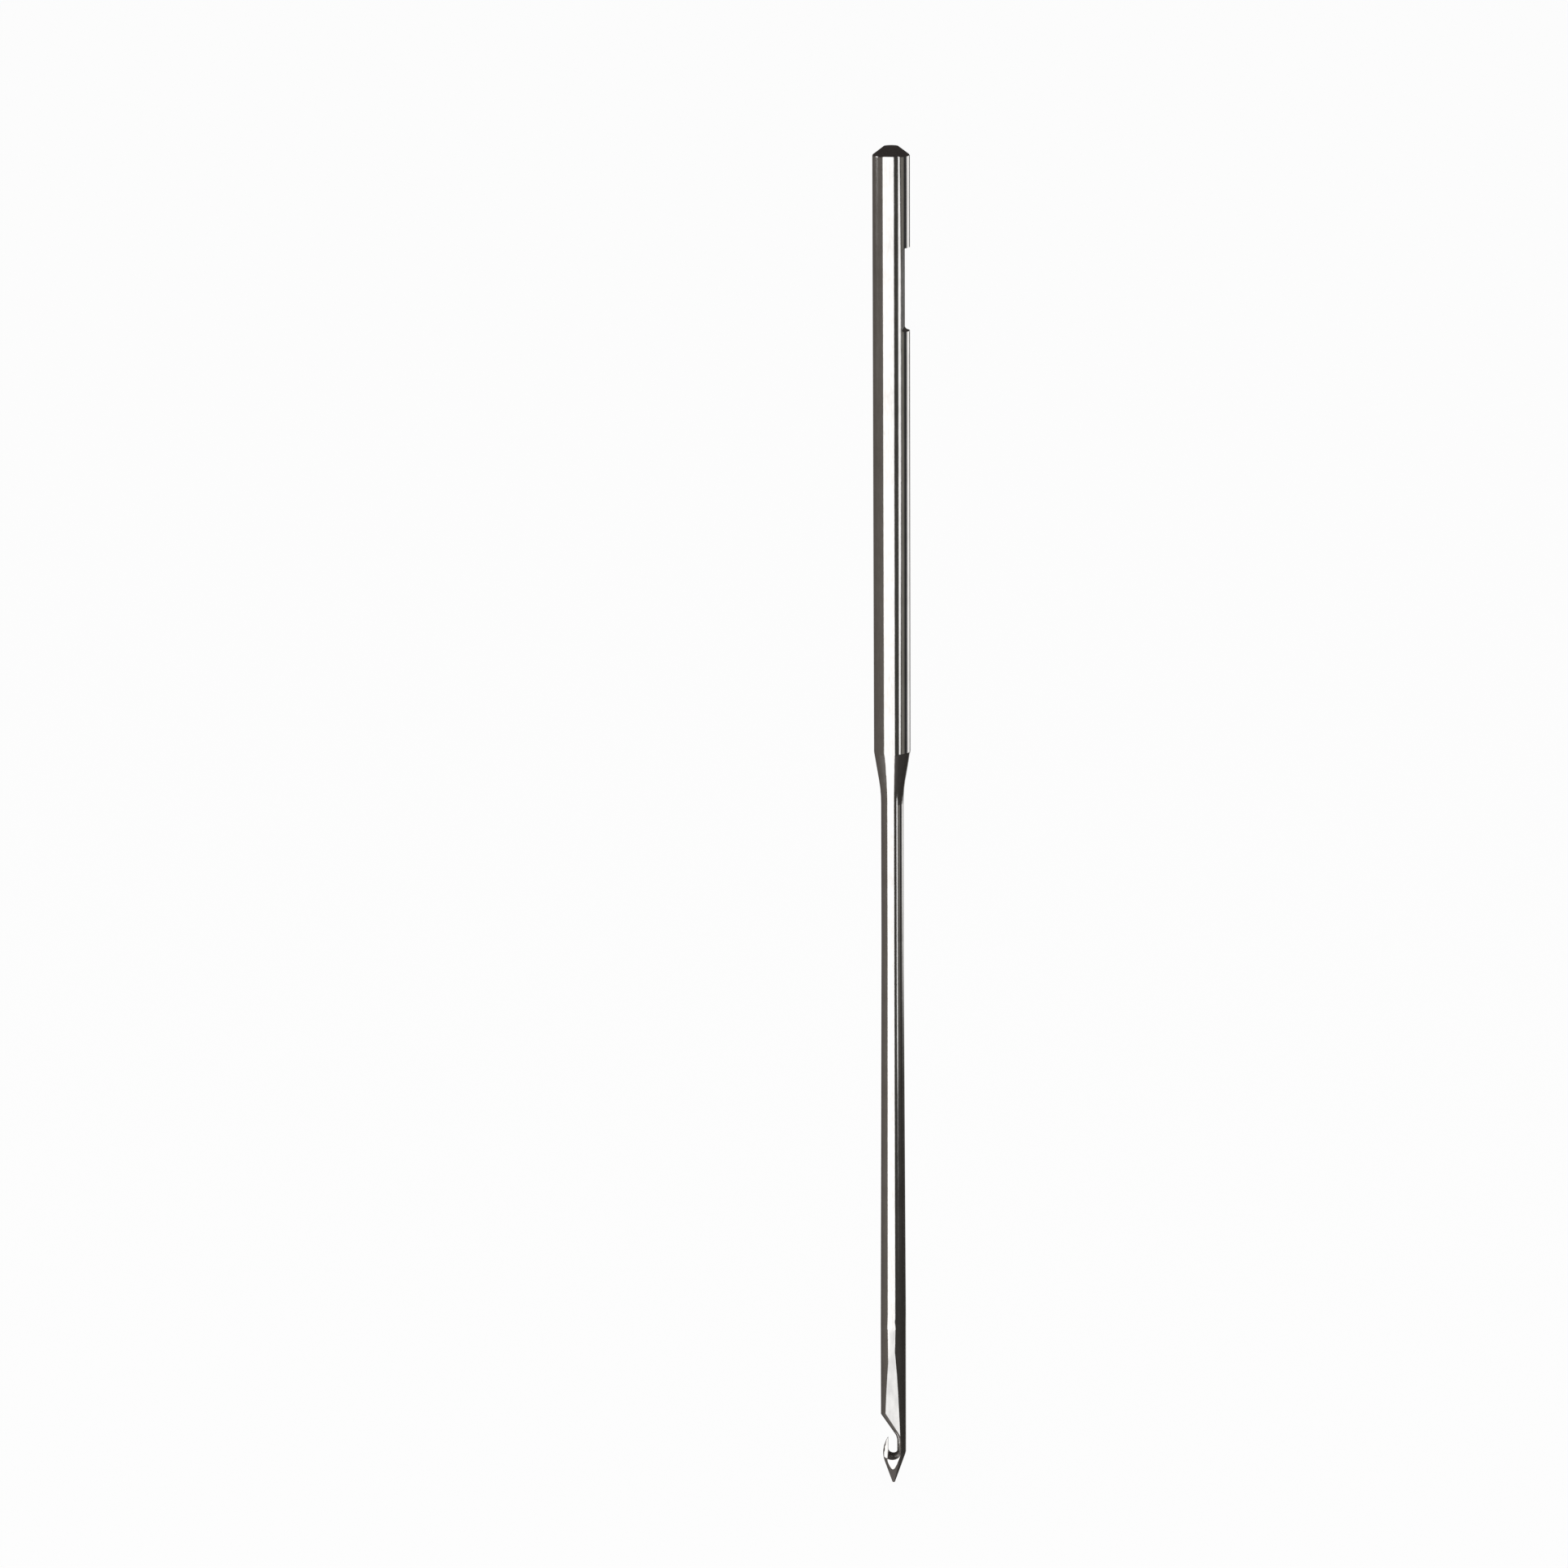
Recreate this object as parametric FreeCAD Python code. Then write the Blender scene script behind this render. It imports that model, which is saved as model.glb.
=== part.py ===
import FreeCAD, Part
import math
import os
from FreeCAD import Vector

# Hook needle for chain-stitch embroidery, one piece of polished hard steel.
# Lengths are in millimetres and angles in degrees.
# The flat end of the shank is at z = 0 and the needle hangs down from it along -Z.
# The hook opens towards -X and the flat on the shank faces +X.

# Shank
SHANK_DIAMETER = 2.0
SHANK_LENGTH = 33.2
BUTT_DIAMETER = 0.75
BUTT_BEVEL_LENGTH = 0.47
BUTT_EDGE_ROUND = 0.08
BEVEL_EDGE_ROUND = 0.12

# Flat on the shank, where the clamp screw bears
FLAT_START = 5.4
FLAT_LENGTH = 4.5
FLAT_DEPTH = 0.35
FLAT_CORNER_ROUND = 0.15

# Taper from the shank down to the blade
TAPER_ANGLE = 9.5
SHOULDER_ROUND = 0.5
TAPER_END_ROUND = 7.8

# Blade
OVERALL_LENGTH = 76.2
BLADE_DIAMETER = 1.24
BLADE_FLARE_START = 44.0
HOOK_DIAMETER = 1.44
HOOK_BODY_HEIGHT = 9.5

# Point
POINT_HALF_ANGLE = 19.0
POINT_EDGE_ROUND = 0.4
TIP_ROUND = 0.09

# Hook, with heights measured up from the tip
SLOPE_TOP_HEIGHT = 4.18
SLOPE_ANGLE = 34.5
NECK_BLEND_RADIUS = 0.8
HOOK_CROWN_RADIUS = 0.66
NECK_THICKNESS = 0.51
THROAT_WIDTH = 0.52
THROAT_FLOOR_HEIGHT = 1.76
BARB_HEIGHT = 2.7
BARB_TIP_THICKNESS = 0.04
BARB_BASE_HEIGHT = 1.3

# Side facets that thin the hook
FACET_START_HEIGHT = 9.75
FACET_RUN_IN_RADIUS = 74.0
FACET_ANGLE = 1.5
POINT_FACET_HEIGHT = 1.8
POINT_FACET_ANGLE = 9.9
POINT_FACET_ROUND = 3.0

# Measures that follow from the ones above
SHANK_RADIUS = SHANK_DIAMETER / 2
BLADE_RADIUS = BLADE_DIAMETER / 2
HOOK_RADIUS = HOOK_DIAMETER / 2
TIP_Z = -OVERALL_LENGTH
CLEAR = SHANK_DIAMETER
NECK_FRONT = HOOK_RADIUS - NECK_THICKNESS
BARB_INSIDE = NECK_FRONT - THROAT_WIDTH
BARB_TIP_RADIUS = BARB_TIP_THICKNESS - BARB_INSIDE
TOLERANCE = 1e-6


def tangent(angle):
    return math.tan(math.radians(angle))


def side_point(x, z):
    return Vector(x, 0, z)


def front_point(y, z):
    return Vector(0, y, z)


# Outlines

def corner_arc(before, corner, after, radius):
    """Return the arc that rounds a corner, or None where the corner stays sharp."""
    if radius < TOLERANCE:
        return None
    back = (before - corner).normalize()
    ahead = (after - corner).normalize()
    half_angle = back.getAngle(ahead) / 2
    reach = radius / math.tan(half_angle)
    middle = (back + ahead).normalize()
    crest = corner + middle * (radius / math.sin(half_angle) - radius)
    return Part.Arc(corner + back * reach, crest, corner + ahead * reach)


def rounded_outline(corners):
    """Join points by straight edges, with an arc wherever a corner has a radius."""
    edges = []
    start = corners[0][0]
    for index in range(1, len(corners) - 1):
        before = corners[index - 1][0]
        corner, radius = corners[index]
        after = corners[index + 1][0]
        arc = corner_arc(before, corner, after, radius)
        end = corner if arc is None else arc.StartPoint
        add_line(edges, start, end)
        if arc is not None:
            edges.append(arc.toShape())
        start = corner if arc is None else arc.EndPoint
    add_line(edges, start, corners[-1][0])
    return edges


def add_line(edges, start, end):
    if start.distanceToPoint(end) > TOLERANCE:
        edges.append(Part.makeLine(start, end))


def closed_face(edges):
    first = edges[0].Vertexes[0].Point
    last = edges[-1].Vertexes[-1].Point
    closing = []
    add_line(closing, last, first)
    return Part.Face(Part.Wire(edges + closing))


# Turned body

def point_radius(height):
    """Radius of the point's cone at a height above the tip."""
    land = TIP_ROUND * tangent((90 - POINT_HALF_ANGLE) / 2)
    return land + height * tangent(POINT_HALF_ANGLE)


def turned_body():
    taper_drop = SHANK_RADIUS - BLADE_RADIUS
    taper_end = -SHANK_LENGTH - taper_drop / tangent(TAPER_ANGLE)
    point_height = (HOOK_RADIUS - point_radius(0)) / tangent(POINT_HALF_ANGLE)
    corners = [
        (side_point(0, 0), 0),
        (side_point(BUTT_DIAMETER / 2, 0), BUTT_EDGE_ROUND),
        (side_point(SHANK_RADIUS, -BUTT_BEVEL_LENGTH), BEVEL_EDGE_ROUND),
        (side_point(SHANK_RADIUS, -SHANK_LENGTH), SHOULDER_ROUND),
        (side_point(BLADE_RADIUS, taper_end), TAPER_END_ROUND),
        (side_point(BLADE_RADIUS, -BLADE_FLARE_START), 0),
        (side_point(HOOK_RADIUS, TIP_Z + HOOK_BODY_HEIGHT), 0),
        (side_point(HOOK_RADIUS, TIP_Z + point_height), POINT_EDGE_ROUND),
        (side_point(point_radius(0), TIP_Z), TIP_ROUND),
        (side_point(0, TIP_Z), 0),
    ]
    profile = closed_face(rounded_outline(corners))
    return profile.revolve(Vector(0, 0, 0), Vector(0, 0, 1), 360).Solids[0]


# Cuts

def facet_cutter():
    """Grind one side of the hook: a curved run-in, a long slight taper and a steeper end at the point."""
    top = TIP_Z + FACET_START_HEIGHT
    run_in = top - FACET_RUN_IN_RADIUS * tangent(FACET_ANGLE / 2)
    end_top = TIP_Z + POINT_FACET_HEIGHT
    end_depth = HOOK_RADIUS - (run_in - end_top) * tangent(FACET_ANGLE)
    tip_depth = end_depth - POINT_FACET_HEIGHT * tangent(POINT_FACET_ANGLE)
    corners = [
        (front_point(HOOK_RADIUS, top), 0),
        (front_point(HOOK_RADIUS, run_in), FACET_RUN_IN_RADIUS),
        (front_point(end_depth, end_top), POINT_FACET_ROUND),
        (front_point(tip_depth, TIP_Z), 0),
        (front_point(CLEAR, TIP_Z), 0),
        (front_point(CLEAR, top), 0),
    ]
    cutter = closed_face(rounded_outline(corners)).extrude(Vector(2 * CLEAR, 0, 0))
    cutter.translate(Vector(-CLEAR, 0, 0))
    return cutter


def across(face):
    """Extrude a side outline right through the needle."""
    cutter = face.extrude(Vector(0, 2 * CLEAR, 0))
    cutter.translate(Vector(0, -CLEAR, 0))
    return cutter


def hook_line(depth):
    """Return the open side of the hook, from the slope to the barb, moved into the steel by a depth."""
    angle = math.radians(SLOPE_ANGLE)
    run = side_point(math.sin(angle), -math.cos(angle))
    inward = side_point(-run.z, run.x)
    slope_top = side_point(-HOOK_RADIUS, TIP_Z + SLOPE_TOP_HEIGHT) + inward * depth
    neck = NECK_FRONT + depth
    barb = BARB_INSIDE - depth
    floor = TIP_Z + THROAT_FLOOR_HEIGHT - depth
    floor_round = THROAT_WIDTH / 2 + depth
    corners = [
        (slope_top - run * CLEAR, 0),
        (slope_top + run * ((neck - slope_top.x) / run.x), NECK_BLEND_RADIUS + depth),
        (side_point(neck, floor), floor_round),
        (side_point(barb, floor), floor_round),
        (side_point(barb, TIP_Z + BARB_HEIGHT), 0),
    ]
    return rounded_outline(corners)


def hook_cutter():
    """Open the hook and leave its slope, neck and throat floor rounded from side to side."""
    middle_line = hook_line(HOOK_CROWN_RADIUS)
    start = middle_line[0].Vertexes[0].Point
    ahead = middle_line[0].Vertexes[1].Point - start
    section = Part.Wire(Part.makeCircle(HOOK_CROWN_RADIUS, start, ahead))
    bar = Part.Wire(middle_line).makePipeShell([section], True, False)
    return across(closed_face(middle_line)).cut(bar)


def barb_relief():
    """Turn the outside of the barb to a long curve that runs into the cone of the point."""
    angle = math.radians(POINT_HALF_ANGLE)
    base = side_point(-point_radius(BARB_BASE_HEIGHT), TIP_Z + BARB_BASE_HEIGHT)
    tip = side_point(-BARB_TIP_RADIUS, TIP_Z + BARB_HEIGHT)
    inward = side_point(math.cos(angle), math.sin(angle))
    chord = tip - base
    radius = chord.Length ** 2 / (2 * chord.dot(inward))
    centre = base + inward * radius
    middle = centre + ((base - centre) + (tip - centre)).normalize() * radius
    edges = [Part.Arc(base, middle, tip).toShape()]
    add_line(edges, tip, side_point(-CLEAR, tip.z))
    add_line(edges, side_point(-CLEAR, tip.z), side_point(-CLEAR, base.z))
    face = closed_face(edges)
    face.rotate(Vector(0, 0, 0), Vector(0, 0, 1), -90)
    return face.revolve(Vector(0, 0, 0), Vector(0, 0, 1), 180)


def flat_cutter():
    """Grind the clamp flat on the side opposite the hook."""
    depth = SHANK_RADIUS - FLAT_DEPTH
    corners = [
        (side_point(CLEAR, -FLAT_START), 0),
        (side_point(depth, -FLAT_START), FLAT_CORNER_ROUND),
        (side_point(depth, -FLAT_START - FLAT_LENGTH), FLAT_CORNER_ROUND),
        (side_point(CLEAR, -FLAT_START - FLAT_LENGTH), 0),
    ]
    return across(closed_face(rounded_outline(corners)))


def needle():
    facet = facet_cutter()
    other_facet = facet.mirror(Vector(0, 0, 0), Vector(0, 1, 0))
    body = turned_body().cut([facet, other_facet])
    body = body.cut(barb_relief())
    body = body.cut(hook_cutter())
    return body.cut(flat_cutter())


os.makedirs("parts", exist_ok=True)
needle().exportStep("parts/needle.step")
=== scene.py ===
import math

import bpy
from mathutils import Matrix, Vector


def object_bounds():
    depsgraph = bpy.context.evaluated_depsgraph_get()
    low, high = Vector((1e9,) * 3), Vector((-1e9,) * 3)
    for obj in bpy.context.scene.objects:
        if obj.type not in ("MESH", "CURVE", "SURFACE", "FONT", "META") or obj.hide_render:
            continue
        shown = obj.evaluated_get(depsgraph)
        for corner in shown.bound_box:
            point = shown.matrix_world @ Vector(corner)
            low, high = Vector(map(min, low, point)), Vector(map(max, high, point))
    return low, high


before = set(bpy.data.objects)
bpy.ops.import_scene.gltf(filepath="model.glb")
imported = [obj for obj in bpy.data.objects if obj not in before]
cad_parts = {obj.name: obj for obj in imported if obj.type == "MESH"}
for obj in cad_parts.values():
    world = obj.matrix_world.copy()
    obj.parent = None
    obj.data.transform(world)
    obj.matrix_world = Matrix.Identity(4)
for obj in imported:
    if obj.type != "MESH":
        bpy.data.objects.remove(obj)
cad_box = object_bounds()


# The needle is one length of hardened steel wire, turned and ground, then plated and buffed bright.
# The wheel left fine lines on the clamp flat and on the two duller flats beside the hook.
# The throat is cut by a slim round wheel; its darker colour is painted shade in the hollow, and the two sides
# of the barb are honed bright.
class Link:
    """One output of a shader node, which joins in sums as a number does."""

    def __init__(self, maker, output):
        self.maker = maker
        self.output = output

    def math(self, operation, first, second):
        return self.maker.node("ShaderNodeMath", {"operation": operation}, {0: first, 1: second})

    def __add__(self, other):
        return self.math("ADD", self, other)

    def __radd__(self, other):
        return self.math("ADD", other, self)

    def __sub__(self, other):
        return self.math("SUBTRACT", self, other)

    def __rsub__(self, other):
        return self.math("SUBTRACT", other, self)

    def __mul__(self, other):
        return self.math("MULTIPLY", self, other)

    def __rmul__(self, other):
        return self.math("MULTIPLY", other, self)


class ShaderMaker:
    """Adds nodes to one material or to the world."""

    def __init__(self, tree):
        self.tree = tree

    def fill(self, socket, value):
        if isinstance(value, Link):
            self.tree.links.new(value.output, socket)
        else:
            socket.default_value = value

    def node(self, kind, settings, sockets, output=0):
        """Add a node, set it up, fill its sockets and hand back one of its outputs."""
        made = self.tree.nodes.new(kind)
        for name, setting in settings.items():
            if name == "stops":
                for index, (position, colour) in enumerate(setting):
                    stops = made.color_ramp.elements
                    stop = stops[index] if index < len(stops) else stops.new(position)
                    stop.position = position
                    stop.color = (*colour, 1)
            else:
                setattr(made, name, setting)
        for name, value in sockets.items():
            self.fill(made.inputs[name], value)
        return Link(self, made.outputs[output])

    def split(self, vector):
        """Hand back the three parts of a vector."""
        return [self.node("ShaderNodeSeparateXYZ", {}, {0: vector}, axis) for axis in "XYZ"]

    def step(self, value, start, end):
        """Rise softly from 0 to 1 as a value goes from start to end."""
        return self.node("ShaderNodeMapRange", {"interpolation_type": "SMOOTHSTEP"},
                         {"Value": value, "From Min": start, "From Max": end})

    def band(self, value, start, full_start, full_end, end):
        """Rise softly from 0 to 1 between the first two values and fall again between the last two."""
        return self.step(value, start, full_start) * self.step(value, end, full_end)

    def noise(self, place, scale, detail):
        return self.node("ShaderNodeTexNoise", {}, {"Vector": place, "Scale": scale, "Detail": detail})

    def ramp(self, value, stops):
        return self.node("ShaderNodeValToRGB", {"stops": stops}, {0: value})

    def mix(self, share, first, second):
        """Blend two colours."""
        return self.node("ShaderNodeMix", {"data_type": "RGBA"}, {"Factor": share, 6: first, 7: second}, 2)


DARK_PLATING = (0.66, 0.645, 0.63)
BRIGHT_PLATING = (0.765, 0.755, 0.745)
DARK_GRINDING = (0.52, 0.515, 0.51)
BRIGHT_GRINDING = (0.62, 0.615, 0.605)
# The throat's darker colour is painted shade, where the hollow lies in shadow.
THROAT_PAINTED_SHADE = (0.33, 0.315, 0.3, 1)

BUFFED_ROUGHNESS = 0.06
BUFFING_ROUGHNESS = 0.05
SMUDGE_ROUGHNESS = 0.04
GROUND_ROUGHNESS = 0.22
THROAT_ROUGHNESS = 0.3

WAVE_HEIGHT = 0.000007
BUFFING_HEIGHT = 0.00000025
WHEEL_LINE_HEIGHT = 0.0000012

# A mask rises from its first number to its second, and the heights fall again from the third to the fourth
HOOK_FLAT_FACING = (0.95, 0.965)
HOOK_FLAT_HEIGHTS = (-0.0746, -0.0742, -0.067, -0.0664)
CLAMP_FLAT_FACING = (0.97, 0.99)
CLAMP_FLAT_HEIGHTS = (-0.01, -0.0099, -0.0054, -0.0053)
BARB_FRONT_FACING = (-0.92, -0.8)
BARB_SIDE_FACING = (0.0, 0.02)
BARB_INSIDE = (-0.00028, -0.00031)
BARB_HEIGHTS = (-0.07459, -0.07453, -0.0734, -0.0732)
THROAT_REACH = (0.0007, 0.0006)
THROAT_FACING = (0.2, 0.45)
THROAT_SIDE = (-0.00034, -0.0003)
THROAT_MIDDLE = (-0.00005, 0, -0.07418)

steel = bpy.data.materials.new("bright_plated_steel")
steel.use_nodes = True
shader = ShaderMaker(steel.node_tree)
surface = steel.node_tree.nodes["Principled BSDF"]
surface.inputs["Metallic"].default_value = 1

place = shader.node("ShaderNodeTexCoord", {}, {}, "Object")
facing = shader.node("ShaderNodeTexCoord", {}, {}, "Normal")
across, _, height = shader.split(place)
facing_back, facing_side, _ = shader.split(facing)
either_side = facing_side * facing_side

hook_flats = shader.step(either_side, *HOOK_FLAT_FACING) * shader.band(height, *HOOK_FLAT_HEIGHTS)
clamp_flat = shader.step(facing_back, *CLAMP_FLAT_FACING) * shader.band(height, *CLAMP_FLAT_HEIGHTS)
ground = hook_flats + clamp_flat
barb_sides = (shader.step(facing_back, *BARB_FRONT_FACING) * shader.step(either_side, *BARB_SIDE_FACING)
              * shader.step(across, *BARB_INSIDE) * shader.band(height, *BARB_HEIGHTS))

to_throat = shader.node("ShaderNodeVectorMath", {"operation": "SUBTRACT"}, {0: THROAT_MIDDLE, 1: place})
to_throat = shader.node("ShaderNodeVectorMath", {"operation": "MULTIPLY"}, {0: to_throat, 1: (1, 0, 1)})
throat_distance = shader.node("ShaderNodeVectorMath", {"operation": "LENGTH"}, {0: to_throat}, "Value")
towards_throat = shader.node("ShaderNodeVectorMath", {"operation": "NORMALIZE"}, {0: to_throat})
facing_throat = shader.node(
    "ShaderNodeVectorMath", {"operation": "DOT_PRODUCT"}, {0: towards_throat, 1: facing}, "Value")
throat = (shader.step(facing_throat, *THROAT_FACING) * shader.step(throat_distance, *THROAT_REACH)
          * shader.step(across, *THROAT_SIDE))


def drawn_out(squeeze, scale, detail):
    """Make a noise whose marks are drawn out along the needle, by squeezing its place that way."""
    squeezed = shader.node("ShaderNodeVectorMath", {"operation": "MULTIPLY"}, {0: place, 1: (1, 1, squeeze)})
    return shader.noise(squeezed, scale, detail)


waves = drawn_out(squeeze=0.5, scale=420, detail=1)
buffing = drawn_out(squeeze=0.04, scale=9000, detail=3)
wheel_lines = drawn_out(squeeze=0.03, scale=26000, detail=2)
clouds = drawn_out(squeeze=0.4, scale=2600, detail=3)
grain = drawn_out(squeeze=0.2, scale=11000, detail=2)
smudges = shader.noise(place, scale=700, detail=3)

plating = shader.ramp(0.5 * smudges + 0.5 * grain, [(0.34, DARK_PLATING), (0.62, BRIGHT_PLATING)])
grinding = shader.ramp(clouds, [(0.35, DARK_GRINDING), (0.65, BRIGHT_GRINDING)])
finish = shader.mix(hook_flats, plating, grinding)
# The throat gets a darker colour here as painted shade in its hollow.
shader.fill(surface.inputs["Base Color"], shader.mix(throat, finish, THROAT_PAINTED_SHADE))
shader.fill(surface.inputs["Roughness"],
            BUFFED_ROUGHNESS + BUFFING_ROUGHNESS * buffing + SMUDGE_ROUGHNESS * smudges
            + (GROUND_ROUGHNESS - BUFFED_ROUGHNESS) * ground + (THROAT_ROUGHNESS - BUFFED_ROUGHNESS) * throat)

sideways = shader.node("ShaderNodeCombineXYZ", {}, {
    "Y": shader.node("ShaderNodeMath", {"operation": "SIGN"}, {0: facing_side})})
honed = shader.node(
    "ShaderNodeMix", {"data_type": "VECTOR"}, {"Factor": barb_sides, 4: facing, 5: sideways}, 1)
honed = shader.node("ShaderNodeVectorTransform", {
    "vector_type": "NORMAL", "convert_from": "OBJECT", "convert_to": "WORLD"}, {0: honed})
relief = WAVE_HEIGHT * waves + BUFFING_HEIGHT * buffing + WHEEL_LINE_HEIGHT * (wheel_lines * ground)
shader.fill(surface.inputs["Normal"], shader.node(
    "ShaderNodeBump", {}, {"Strength": 1.0, "Distance": 1.0, "Height": relief, "Normal": honed}))

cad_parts["needle"].material_slots[0].material = steel


# The floor is a wide sheet of matt white paper under the needle's point.
# The lamps reach below it, so it casts no shadow, and the steel doesn't mirror it.
FLOOR_SIZE = 30
PAPER_GLOW = 0.93

bpy.ops.object.select_all(action="DESELECT")
bpy.ops.mesh.primitive_plane_add(size=FLOOR_SIZE, location=(0, 0, cad_box[0].z))
floor = bpy.context.object
floor.name = "floor"
floor.visible_glossy = False
floor.visible_shadow = False
paper = bpy.data.materials.new("floor_paper")
paper.use_nodes = True
shader = ShaderMaker(paper.node_tree)
matt = paper.node_tree.nodes["Principled BSDF"]
matt.inputs["Base Color"].default_value = (0.9, 0.9, 0.9, 1)
matt.inputs["Roughness"].default_value = 0.9
matt.inputs["Specular IOR Level"].default_value = 0.1
white = shader.node("ShaderNodeEmission", {}, {"Color": (1, 1, 1, 1), "Strength": 1.0})
seen = shader.node("ShaderNodeLightPath", {}, {}, "Is Camera Ray")
blended = shader.node("ShaderNodeMixShader", {}, {
    0: PAPER_GLOW * seen, 1: Link(shader, matt.outputs[0]), 2: white})
shader.fill(paper.node_tree.nodes["Material Output"].inputs["Surface"], blended)
floor.data.materials.append(paper)


# The room round the needle is plain and white. The steel mirrors it as dark on the camera's side
# and white behind on the right, under a dark ceiling, which gives the needle its crisp bands.
# Colours are placed by degrees to the right of the camera's side, and levels by how far up one looks.
VIEW_TURN = math.radians(8)
ROOM_LIGHT = 0.7
CEILING_LEVEL = (0.0, 0.12)
LOWER_WALL_LEVEL = (-0.26, -0.29)
GROUND_LEVEL = (-0.42, -0.5)
UNDERFOOT_LEVEL = (-0.72, -0.82)
CEILING = (0.035, 0.03, 0.028, 1)
UPPER_WALLS = (
    (-179, (0.09, 0.08, 0.075)),
    (-60, (0.15, 0.135, 0.12)),
    (0, (0.05, 0.047, 0.042)),
    (55, (0.05, 0.047, 0.042)),
    (65, (0.19, 0.18, 0.16)),
    (78, (0.19, 0.18, 0.16)),
    (88, (0.03, 0.03, 0.03)),
    (106, (0.03, 0.03, 0.03)),
    (118, (0.9, 0.89, 0.88)),
    (130, (1.2, 1.19, 1.17)),
    (141, (1.2, 1.19, 1.17)),
    (147, (0.045, 0.042, 0.04)),
    (179, (0.045, 0.042, 0.04)),
)
LOWER_WALLS = (
    (-179, (0.09, 0.08, 0.075)),
    (-60, (0.15, 0.135, 0.12)),
    (0, (0.05, 0.047, 0.042)),
    (100, (0.036, 0.033, 0.03)),
    (142, (0.036, 0.033, 0.03)),
    (154, (0.75, 0.74, 0.73)),
    (179, (0.8, 0.79, 0.78)),
)
GROUND = (
    (-179, (0.06, 0.055, 0.05)),
    (-70, (0.19, 0.175, 0.165)),
    (10, (0.11, 0.1, 0.094)),
    (50, (0.045, 0.041, 0.038)),
    (179, (0.045, 0.041, 0.038)),
)
UNDERFOOT = (0.15, 0.137, 0.13, 1)

world = bpy.data.worlds.new("studio")
bpy.context.scene.world = world
world.use_nodes = True
shader = ShaderMaker(world.node_tree)
direction = shader.node("ShaderNodeVectorRotate", {"rotation_type": "Z_AXIS"}, {
    "Vector": shader.node("ShaderNodeTexCoord", {}, {}, "Generated"), "Angle": -VIEW_TURN})
look_right, look_ahead, look_up = shader.split(direction)
bearing = shader.node("ShaderNodeMath", {"operation": "ARCTAN2"}, {0: look_right, 1: 0 - look_ahead})
way_round = 0.5 + (0.5 / math.pi) * bearing


def painted(colours):
    """Paint one level of the room with its colours by degrees."""
    return shader.ramp(way_round, [(0.5 + degrees / 360, colour) for degrees, colour in colours])


room = shader.mix(shader.step(look_up, *LOWER_WALL_LEVEL), painted(UPPER_WALLS), painted(LOWER_WALLS))
room = shader.mix(shader.step(look_up, *GROUND_LEVEL), room, painted(GROUND))
room = shader.mix(shader.step(look_up, *UNDERFOOT_LEVEL), room, UNDERFOOT)
room = shader.mix(shader.step(look_up, *CEILING_LEVEL), room, CEILING)
mirrored = shader.node("ShaderNodeBackground", {}, {"Color": room, "Strength": 1.0})
seen = shader.node("ShaderNodeLightPath", {}, {}, "Is Camera Ray")
pale = shader.node("ShaderNodeBackground", {}, {
    "Color": (1, 1, 1, 1), "Strength": ROOM_LIGHT + (1 - ROOM_LIGHT) * seen})
glossy = shader.node("ShaderNodeLightPath", {}, {}, "Is Glossy Ray")
shader.fill(world.node_tree.nodes["World Output"].inputs["Surface"],
            shader.node("ShaderNodeMixShader", {}, {0: glossy, 1: pale, 2: mirrored}))


# Three soft lamps hang upright round the needle and face it.
# The wide key lamp gives the broad bright band and the strip lamp a thin one beside it.
# The side lamp stands far off on the left and lights the hook's open side.
def softbox(name, right, low, high, width, distance, brightness):
    """Hang a lamp between two heights, by degrees to the right of the camera's side."""
    lamp = bpy.data.lights.new(name, "AREA")
    lamp.shape = "RECTANGLE"
    lamp.size = width
    lamp.size_y = high - low
    lamp.energy = width * (high - low) * math.pi * brightness
    hung = bpy.data.objects.new(name, lamp)
    bpy.context.collection.objects.link(hung)
    angle = VIEW_TURN + math.radians(right)
    aim = Vector((math.sin(angle), -math.cos(angle), 0))
    hung.location = aim * distance + Vector((0, 0, (low + high) / 2))
    hung.rotation_euler = aim.to_track_quat("Z", "Y").to_euler()
    hung.visible_camera = False


softbox("key_lamp", right=-19.5, low=-0.47, high=0.23, width=0.48, distance=0.35, brightness=1.36)
softbox("strip_lamp", right=48, low=-0.16, high=0.23, width=0.06, distance=0.35, brightness=1.25)
softbox("side_lamp", right=-100, low=-0.19, high=0.6, width=0.7, distance=2.0, brightness=1.3)


# The camera stands 26 cm off, 8 degrees to the right of the needle's front, and looks 14 degrees down.
# Its target lies left of the needle, so the needle stands right of the middle of the picture.
# The focal length is in pixels of a picture 1932 pixels wide.
PHOTO_WIDTH = 1932
PHOTO_FOCAL = 5787
SENSOR_WIDTH = 36
TARGET_LEFT = 0.005964
TARGET_HEIGHT = -0.0350
DISTANCE = 0.2587
ELEVATION = math.radians(14)
ROLL = math.radians(-0.448)

lens = bpy.data.cameras.new("camera")
lens.sensor_width = SENSOR_WIDTH
lens.lens = SENSOR_WIDTH * PHOTO_FOCAL / PHOTO_WIDTH
lens.clip_start = 0.01
camera = bpy.data.objects.new("camera", lens)
bpy.context.collection.objects.link(camera)
turned = Matrix.Rotation(VIEW_TURN, 3, "Z")
away = Vector((0, -math.cos(ELEVATION), math.sin(ELEVATION)))
camera.location = turned @ (Vector((-TARGET_LEFT, 0, TARGET_HEIGHT)) + DISTANCE * away)
pointed = turned @ Matrix.Rotation(math.pi / 2 - ELEVATION, 3, "X") @ Matrix.Rotation(ROLL, 3, "Z")
camera.rotation_euler = pointed.to_euler()
bpy.context.scene.camera = camera
bpy.context.scene.view_settings.view_transform = "Standard"
